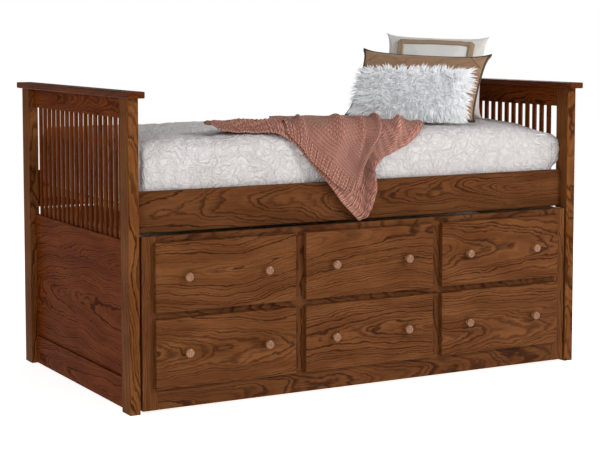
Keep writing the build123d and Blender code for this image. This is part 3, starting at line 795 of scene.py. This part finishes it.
def make_braid_pillow():
    """The back pillow: a linen panel framed by three cords braided together."""
    place = {"x": 0.607, "y": 0.500, "base": 1.006, "turn": 52, "lean": 36, "roll": 2.5}
    shape = Pillow(31, width=0.462, height=0.440, thick=0.120, ears=0.026, **place)
    border = linen("washed_cotton", (0.76, 0.72, 0.68), (0.66, 0.62, 0.575))
    make_pillow("pillow_braid_cover", "pillow_braid", shape, border, "pillow_cotton")
    inset = (0.74, 0.76)
    line = np.linspace(-1, 1, 61)
    u, v = np.meshgrid(line * inset[0], line * inset[1], indexing="ij")
    centre = shape.at(u, v, 1, 0.0030).reshape(-1, 3)
    uv = np.column_stack([u.ravel() * shape.width / 2, v.ravel() * shape.height / 2])
    grey = linen("grey_linen", (0.80, 0.80, 0.775), (0.68, 0.68, 0.655))
    panel = new_piece("pillow_braid_panel", centre, grid_quads(61, 61), grey, "pillow_cotton", uv)
    thicken(panel, 0.0022)
    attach(panel, "bed")
    corners = np.array([(-1, -1), (1, -1), (1, 1), (-1, 1)])
    part = np.linspace(0, 1, 150, endpoint=False)[:, None]
    sides = [a + (b - a) * part for a, b in zip(corners, np.roll(corners, -1, 0))]
    frame_line = np.vstack(sides) * inset
    flow = np.roll(frame_line, -1, 0) - frame_line
    flow = flow / np.linalg.norm(flow, axis=1, keepdims=True)
    normal = np.column_stack([flow[:, 1], -flow[:, 0]])
    waves, swing, cord_radius = 56, 0.048, 0.0042  # swing is a share of the pillow's half width
    turn = np.linspace(0, 2 * math.pi * waves, len(frame_line), endpoint=False)
    strands = []
    for k in range(3):
        phase = turn + 2 * math.pi * k / 3
        at = frame_line + normal * (swing * np.sin(phase))[:, None]
        lift = 0.0070 + 0.0026 * np.sin(2 * phase)
        line = shape.at(at[:, 0], at[:, 1], 1, lift)
        strands.append(tube(line, cord_radius, 6, closed=True, up=shape.facing))
    braid = new_piece("pillow_braid_trim", *gather(strands), jute(), "pillow_cotton")
    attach(braid, "bed")


def make_suede_pillow():
    """The middle pillow, with a dark cord sewn all round its seam."""
    place = {"x": 0.426, "y": 0.378, "base": 1.008, "turn": 42, "lean": 38, "roll": 3.0}
    shape = Pillow(32, width=0.570, height=0.356, thick=0.076, ears=0.026, **place)
    hide = suede("brown_suede", (0.330, 0.190, 0.105), shape.width, shape.height)
    make_pillow("pillow_suede_cover", "pillow_suede", shape, hide, "pillow_suede")
    cord = tube(shape.rim_line(60), 0.0058, 8, closed=True, up=shape.facing)
    piping = new_piece("pillow_suede_piping", *cord, corded_piping(), "pillow_suede")
    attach(piping, "bed")


def fur_strands(shape, count, seed):
    """Tapered hair in drooping tufts over the whole pillow, longest at its edge."""
    rng = np.random.default_rng(seed)
    tufts = 700
    tuft_at = rng.uniform(-1, 1, (tufts, 2))
    tuft_lean = rng.normal(0, 1, (tufts, 2))
    u, v = rng.uniform(-1, 1, (2, count))
    side = np.where(rng.uniform(0, 1, count) < 0.80, 1.0, -1.0)
    root = np.where(side[:, None] > 0, shape.at(u, v, 1), shape.at(u, v, -1))
    apart = (u[:, None] - tuft_at[None, :, 0]) ** 2 + ((v[:, None] - tuft_at[None, :, 1]) / 1.8) ** 2
    near = np.argmin(apart, axis=1)
    edge = np.maximum(np.abs(u), np.abs(v)) ** 5
    plane = (u * edge * 1.1)[:, None] * shape.across + (v * edge * 1.1)[:, None] * shape.up
    lean = tuft_lean[near] * 0.34 + rng.normal(0, 0.14, (count, 2))
    sideways = lean[:, :1] * shape.across + lean[:, 1:] * shape.up
    out = side[:, None] * shape.facing * (1.0 - 0.55 * edge)[:, None]
    way = out * 0.55 + plane + sideways * 0.75 + np.array([0, 0, -0.30])
    way /= np.linalg.norm(way, axis=1, keepdims=True)
    length = rng.uniform(0.024, 0.042, count) * (1 + 0.20 * edge)
    droop = np.array([0, 0, -1.0]) * (length * rng.uniform(0.10, 0.35, count))[:, None]
    stops = np.array([0.0, 0.38, 0.72, 1.0])
    thick = (0.0016, 0.0013, 0.0009, 0.0002)  # each hair is a tapered prism through four stops
    across = np.cross(way, rng.normal(0, 1, (count, 3)))
    across /= np.linalg.norm(across, axis=1, keepdims=True)
    other = np.cross(way, across)
    rings = []
    for stop, wide in zip(stops, thick):
        middle = root + way * (length * stop)[:, None] + droop * stop**2
        for k in range(3):
            angle = 2 * math.pi * k / 3
            rings.append(middle + wide * (across * math.cos(angle) + other * math.sin(angle)))
    points = np.stack(rings, 1).reshape(-1, 3)
    points[:, 2] = np.maximum(points[:, 2], shape.foot[2])
    one = grid_quads(4, 3, around=True) + [(2, 1, 0), (9, 10, 11)]
    faces = [tuple(12 * i + j for j in face) for i in range(count) for face in one]
    uv = np.column_stack([np.repeat(rng.uniform(0, 1, count), 12), np.tile(np.repeat(stops, 3), count)])
    return points, faces, uv


def make_fur_pillow():
    """The front pillow; its hairs are shaded mostly as the pillow is, so the pile reads as one soft mass."""
    place = {"x": 0.356, "y": 0.290, "base": 1.006, "turn": 42, "lean": 36, "roll": 0.0}
    shape = Pillow(33, width=0.468, height=0.258, thick=0.074, ears=0.006, **place)
    # cool is the roots' colour and the backing's: painted shade deep in the pile
    white, cool = (0.985, 0.990, 0.995), (0.93, 0.955, 0.985)
    backing = fur_fibre("fur_backing", cool, white, 0.2)
    make_pillow("pillow_fur_cover", "pillow_fur", shape, backing, "pillow_fur")
    points, faces, uv = fur_strands(shape, 7500, SEED + shape.seed)
    hair = fur_fibre("fur_pile", cool, white, 0.9)
    pile = new_piece("pillow_fur_pile", points, faces, hair, "pillow_fur", uv)
    own = np.array([v.normal for v in pile.data.vertices])
    soft = own * 0.15 + shape.facing * 0.85 + np.array([0.22, -0.48, 0.24])
    pile.data.normals_split_custom_set_from_vertices(soft / np.linalg.norm(soft, axis=1, keepdims=True))
    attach(pile, "bed")


# ---- throw

TOP_START = 0.112  # from the front plane to where the coverlet's top begins to round over
BED_TOP, BED_ROUND = 1.004, 0.050


def bed_path():
    """The bed's profile under the throw, from the back of the top down: (distance from the front, height)."""
    back = [(TOP_START + d, BED_TOP) for d in np.linspace(0.60, 0.02, 30)]
    arc = [
        (TOP_START - BED_ROUND * math.sin(a), BED_TOP - BED_ROUND * (1 - math.cos(a)))
        for a in np.linspace(0, math.pi / 2, 12)
    ]
    side = [(0.057, 0.93), (0.052, 0.90), (0.046, 0.87), (0.040, 0.845), (0.034, 0.820)]
    front = [(0.030, 0.790), (0.0295, 0.75), (0.030, 0.70), (0.031, 0.65), (0.031, 0.61)]
    return np.array(back + arc + side + front)


def over_bed(x, s, h):
    """World points of the throw: x along the bed, s down its profile from the rounding's start, h off it."""
    path = smooth_line(bed_path(), 700)
    along = lengths_along(path)
    along -= along[np.argmin(np.abs(path[:, 0] - TOP_START) + (path[:, 1] < 1.0))]
    slope = np.gradient(path, along, axis=0)
    out = np.column_stack([slope[:, 1], -slope[:, 0]])
    soft = np.array([np.convolve(np.pad(out[:, k], 12, "edge"), np.ones(25) / 25, "valid") for k in (0, 1)]).T
    y, z = (np.interp(s, along, path[:, k]) for k in (0, 1))
    ny, nz = (np.interp(s, along, soft[:, k]) for k in (0, 1))
    return np.column_stack([x, FRONT + y + ny * h, z + nz * h])


def coons(bottom, top, left, right):
    """A patch between four curves, each an (n, 2) array; bottom and top run alike, left and right too."""
    n, m = len(bottom), len(left)
    a, b = np.linspace(0, 1, n)[:, None, None], np.linspace(0, 1, m)[None, :, None]
    ruled = (1 - b) * bottom[:, None] + b * top[:, None] + (1 - a) * left[None] + a * right[None]
    ends = (1 - a) * (1 - b) * bottom[0] + a * (1 - b) * bottom[-1] + (1 - a) * b * top[0] + a * b * top[-1]
    return ruled - ends


def ridge(x, s, line, width, height):
    """A fold's height about a line of (x, s) points, dying away at its ends, with a fairly sharp crest."""
    line = smooth_line(line, 60)
    gap = np.hypot(x[:, None] - line[None, :, 0], s[:, None] - line[None, :, 1])
    near = np.argmin(gap, axis=1)
    taper = np.sin(np.pi * np.clip((near + 3) / 66, 0, 1)) ** 0.6
    return height * taper * np.exp(-((gap[np.arange(len(x)), near] / width) ** 1.56))


def fold_height(x, s, base, folds, seed):
    """How far a layer of the throw stands off the bed: its folds over a gentle unevenness."""
    h = base + 0.008 * (1 + noise_at(planar(x, s, 0.085), seed, 2))
    for fold in folds:
        h = h + ridge(x, s, *fold)
    return h


def throw_layer(bottom, top, left, right, counts, base, folds, hem, seed, under=None):
    """One layer of the knit over the bed: points, quads and pattern in metres.

    bottom, top, left and right are its outline in (x, s), base is its height off the bed, and hem is the
    width of its ribbed end. Over another layer, under, it keeps clear of that one.
    """
    clear, rib_high, rib_pitch = 0.011, 0.0028, 0.015
    n, m = counts
    flat = coons(smooth_line(bottom, n), smooth_line(top, n), smooth_line(left, m), smooth_line(right, m))
    x, s = flat.reshape(-1, 2).T
    h = fold_height(x, s, base, folds, seed)
    if under:
        h = np.maximum(h, fold_height(x, s, under["base"], under["folds"], under["seed"]) + clear)
    a, b = (w.ravel() for w in np.meshgrid(np.arange(n) / (n - 1), np.arange(m) / (m - 1), indexing="ij"))
    u, v = a * lengths_along(smooth_line(bottom, 80))[-1], b * lengths_along(smooth_line(left, 80))[-1]
    band = ease(v, hem + 0.004, hem - 0.004)
    h = h + band * rib_high * np.sin(u * 2 * math.pi / rib_pitch)
    return over_bed(x, s, h), grid_quads(n, m), np.column_stack([u, v])


def make_throw():
    """The throw's two layers: the lower one trails along the bed, and the upper one falls over its edge.

    Each fold is a line of (x, s) points with its width and its height.
    """
    below = dict(
        bottom=[
            (-0.605, 0.022), (-0.50, 0.032), (-0.386, 0.040), (-0.30, 0.085), (-0.23, 0.170), (-0.162, 0.250),
            (-0.10, 0.325), (-0.034, 0.388),
        ],
        top=[
            (-0.590, -0.12), (-0.47, -0.22), (-0.36, -0.29), (-0.18, -0.36), (0.02, -0.38), (0.20, -0.30),
            (0.30, -0.16), (0.300, 0.030),
        ],
        left=[(-0.605, 0.022), (-0.628, -0.04), (-0.590, -0.12)],
        right=[
            (-0.034, 0.388), (-0.006, 0.370), (0.010, 0.310), (0.026, 0.262), (0.026, 0.200), (0.08, 0.150),
            (0.20, 0.098), (0.300, 0.030),
        ],
        counts=(230, 110),
        base=0.004,
        folds=[
            ([(-0.600, 0.0), (-0.615, -0.05), (-0.58, -0.11)], 0.020, 0.018),
            ([(-0.61, -0.01), (-0.54, -0.04), (-0.47, -0.03), (-0.38, -0.01), (-0.30, 0.03)], 0.020, 0.032),
            ([(-0.57, -0.10), (-0.46, -0.12), (-0.34, -0.09), (-0.22, -0.01)], 0.022, 0.024),
            ([(-0.42, -0.22), (-0.20, -0.25), (0.0, -0.22), (0.15, -0.12)], 0.030, 0.012),
            ([(0.10, 0.14), (0.150, 0.06), (0.21, -0.01), (0.28, -0.07)], 0.014, 0.028),
            ([(0.16, 0.115), (0.22, 0.07), (0.28, 0.03)], 0.012, 0.016),
            ([(-0.006, 0.378), (0.004, 0.32), (0.016, 0.265), (0.018, 0.20), (0.055, 0.155)], 0.010, 0.046),
            ([(-0.09, 0.32), (-0.07, 0.24), (-0.02, 0.15)], 0.014, 0.014),
        ],
        hem=0.036,
        seed=SEED + 41,
    )
    under = throw_layer(**below)
    over = throw_layer(
        bottom=[
            (-0.33, 0.050), (-0.286, 0.092), (-0.259, 0.134), (-0.21, 0.190), (-0.162, 0.232), (-0.11, 0.262),
            (-0.064, 0.285),
        ],
        top=[
            (-0.24, -0.26), (-0.12, -0.31), (0.0, -0.30), (0.09, -0.24), (0.14, -0.15), (0.14, -0.06),
            (0.10, 0.02),
        ],
        left=[(-0.33, 0.050), (-0.32, -0.05), (-0.28, -0.16), (-0.24, -0.26)],
        right=[(-0.064, 0.285), (-0.024, 0.188), (0.030, 0.110), (0.10, 0.02)],
        counts=(130, 110),
        base=0.020,
        folds=[
            ([(-0.074, 0.28), (-0.036, 0.188), (0.014, 0.112), (0.075, 0.030), (0.09, -0.03)], 0.012, 0.034),
            ([(-0.18, 0.20), (-0.13, 0.10), (-0.09, 0.02), (-0.08, -0.08)], 0.030, 0.022),
            ([(-0.27, 0.08), (-0.25, 0.0), (-0.20, -0.08), (-0.10, -0.14)], 0.016, 0.020),
            ([(-0.05, 0.17), (-0.015, 0.08), (0.015, 0.0), (0.02, -0.06)], 0.016, 0.020),
            ([(-0.36, 0.10), (-0.33, 0.05), (-0.32, -0.05), (-0.28, -0.16), (-0.24, -0.26)], 0.030, -0.022),
        ],
        hem=0.040,
        seed=SEED + 42,
        under=below,
    )
    points, faces = gather([under[:2], over[:2]])
    uv = np.vstack([under[2], over[2]])
    piece = new_piece("throw_knitted", points, faces, knit_wool(), "coral_knit", uv)
    thicken(piece, 0.0042, offset=1.0)
    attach(piece, "bed")
    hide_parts("throw")


# ---- studio


def make_camera():
    """The photograph's viewing angle: over the front, from the left, a little above."""
    data = bpy.data.cameras.new("camera")
    camera = add_object("camera", data)
    camera.location = (-3.2034, -5.7624, 1.3925)
    heading, pitch = math.radians(29.08), math.radians(4.754)
    camera.rotation_euler = (math.pi / 2 - pitch, 0.0, -heading)
    data.lens, data.sensor_width = 95.44, 36.0
    data.shift_y = -0.1083
    data.clip_start, data.clip_end = 0.1, 60.0
    bpy.context.scene.camera = camera


def make_floor():
    """White paper that glows a little, so that it stays white beyond the lights."""
    half, glow = 14.0, 0.76
    mesh = bpy.data.meshes.new("floor")
    corners = [(-half, -half, 0), (half, -half, 0), (half, half, 0), (-half, half, 0)]
    mesh.from_pydata(corners, [], [(0, 1, 2, 3)])
    floor = add_object("floor", mesh)
    paper = Finish("studio_paper", Roughness=0.9)
    mottle = paper.noise(paper.place(), 3.0, 3.0)
    paper.surface.inputs["Emission Color"].default_value = (1, 1, 1, 1)
    paper.surface.inputs["Emission Strength"].default_value = glow
    shade = paper.ramp(mottle, (0.3, (0.84, 0.84, 0.84)), (0.7, (0.88, 0.88, 0.88)))
    mesh.materials.append(paper.finish(shade))


def area_light(name, at, aim, size, power):
    data = bpy.data.lights.new(name, "AREA")
    data.shape, data.size, data.energy = "DISK", size, power
    light = add_object(name, data)
    light.location = at
    light.rotation_euler = (Vector(aim) - Vector(at)).to_track_quat("-Z", "Y").to_euler()


def make_studio():
    """The camera, the floor, three soft lights, and a white world that looks brighter than it lights."""
    given, seen_as = 0.28, 1.0
    make_camera()
    make_floor()
    world = bpy.data.worlds.new("studio")
    world.use_nodes = True
    sky = world.node_tree.nodes["Background"]
    sky.inputs["Color"].default_value = (1, 1, 1, 1)
    seen = world.node_tree.nodes.new("ShaderNodeLightPath").outputs["Is Camera Ray"]
    level = world.node_tree.nodes.new("ShaderNodeMapRange")
    level.inputs["To Min"].default_value, level.inputs["To Max"].default_value = given, seen_as
    world.node_tree.links.new(seen, level.inputs["Value"])
    world.node_tree.links.new(level.outputs[0], sky.inputs["Strength"])
    bpy.context.scene.world = world
    bpy.context.scene.view_settings.view_transform = "Standard"
    area_light("key", (2.6, -4.8, 3.7), (0.1, 0.0, 0.7), 1.5, 190)
    area_light("fill", (-4.2, -4.2, 2.8), (0.2, 0.0, 1.0), 2.2, 85)
    area_light("back", (3.0, 3.6, 3.0), (0.2, 0.1, 0.8), 1.6, 55)


make_studio()
finish_woodwork()
make_mattress("mattress_quilted", "mattress", "bed", (0.72, 0.70, 0.66), sink=0.016)
make_mattress("trundle_mattress_quilted", "trundle_mattress", "trundle", (0.66, 0.64, 0.60))
make_coverlet()
make_braid_pillow()
make_suede_pillow()
make_fur_pillow()
make_throw()
